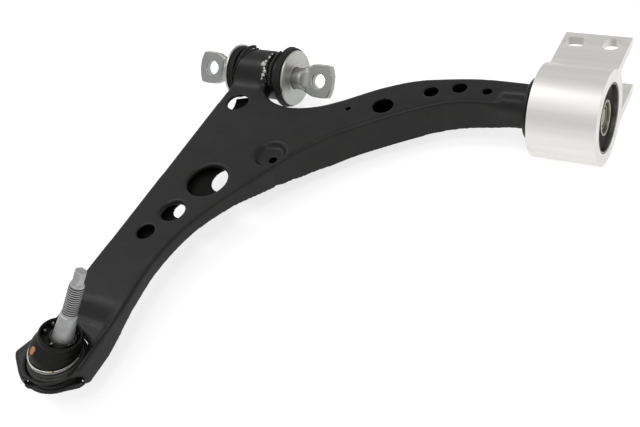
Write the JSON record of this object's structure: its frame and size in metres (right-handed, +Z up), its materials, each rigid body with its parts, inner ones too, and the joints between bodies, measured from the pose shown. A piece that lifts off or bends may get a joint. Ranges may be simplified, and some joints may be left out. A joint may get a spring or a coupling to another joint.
{
  "type": "automotive lower control arm",
  "caption": "Lower control arm for a car's front suspension: a black pressed-steel A-arm with a bar-pin bushing, a forked aluminium bracket on a rubber bushing and a ball joint with its threaded stud.",
  "frame": {"origin": "bottom centre of the part's box; the axis through both bushings runs along X at y = 0.152, z = 0.040", "axes": "+X towards the forked rear bushing bracket, -Y towards the ball joint, +Z up out of the arm's top plate"},
  "size_m": [0.4118, 0.4505, 0.1087],
  "materials": {
    "black_paint": "satin black e-coat",
    "bare_steel": "bare turned steel",
    "zinc_plate": "bright zinc plating",
    "aluminium": "extruded and sawn, lightly brushed",
    "bushing_sleeve": "dull phosphated steel",
    "core_ring": "dull cast ring",
    "rubber": "moulded black rubber",
    "housing_steel": "black phosphate",
    "socket_liner": "natural acetal",
    "spring_wire": "drawn spring wire",
    "stud_zinc": "matt zinc plating"
  },
  "bodies": {
    "arm": {"upper_shell": "black_paint", "lower_plate": "black_paint", "seam_weld_front": "black_paint", "seam_weld_rear": "black_paint", "tube_weld_bead": "black_paint", "spigot_weld_bead": "black_paint", "front_bushing_tube": "black_paint", "front_outer_sleeve": "bare_steel", "front_rubber": "rubber", "front_bumper_left": "rubber", "front_bumper_right": "rubber", "rear_spigot": "black_paint", "rear_stop_disc": "black_paint", "rear_inner_sleeve": "bare_steel", "rear_core_ring": "core_ring", "rear_rubber": "rubber", "ball_joint_housing": "housing_steel", "ball_joint_cover": "housing_steel", "ball_socket_liner": "socket_liner", "boot_base_wire_upper": "spring_wire", "boot_base_wire_lower": "spring_wire"},
    "bar_pin": {"bar_pin": "zinc_plate", "front_washer_left": "zinc_plate", "front_washer_right": "zinc_plate"},
    "bracket": {"rear_bracket": "aluminium", "rear_outer_sleeve": "bushing_sleeve"},
    "boot": {"dust_boot": "rubber"},
    "collar": {"boot_collar_clip": "housing_steel"},
    "stud": {"ball_stud": "stud_zinc"}
  },
  "joints": [
    {"name": "bar_pin_twist", "type": "hinge", "parent": "arm", "child": "bar_pin", "pos_m": [-0.1265, 0.152, 0.04], "axis": [1, 0, 0], "range_deg": [-30, 30], "stiffness_Nm_per_rad": 40},
    {"name": "bracket_twist", "type": "hinge", "parent": "arm", "child": "bracket", "pos_m": [0.176, 0.152, 0.04], "axis": [1, 0, 0], "range_deg": [-30, 30], "stiffness_Nm_per_rad": 40},
    {"name": "ball_swing_a", "type": "hinge", "parent": "arm", "child": "boot", "pos_m": [-0.1287, -0.1934, 0.037], "axis": [-0.8545, 0.5086, 0.1054], "range_deg": [-52, 1], "deforming": ["dust_boot"]},
    {"name": "ball_swing_b", "type": "hinge", "parent": "boot", "child": "collar", "pos_m": [-0.1287, -0.1934, 0.037], "axis": [0.3568, 0.7222, -0.5925], "range_deg": [-15, 15]},
    {"name": "ball_spin", "type": "hinge", "parent": "collar", "child": "stud", "pos_m": [-0.1287, -0.1934, 0.037], "axis": [0.3774, 0.4688, 0.7986], "continuous": true}
  ]
}
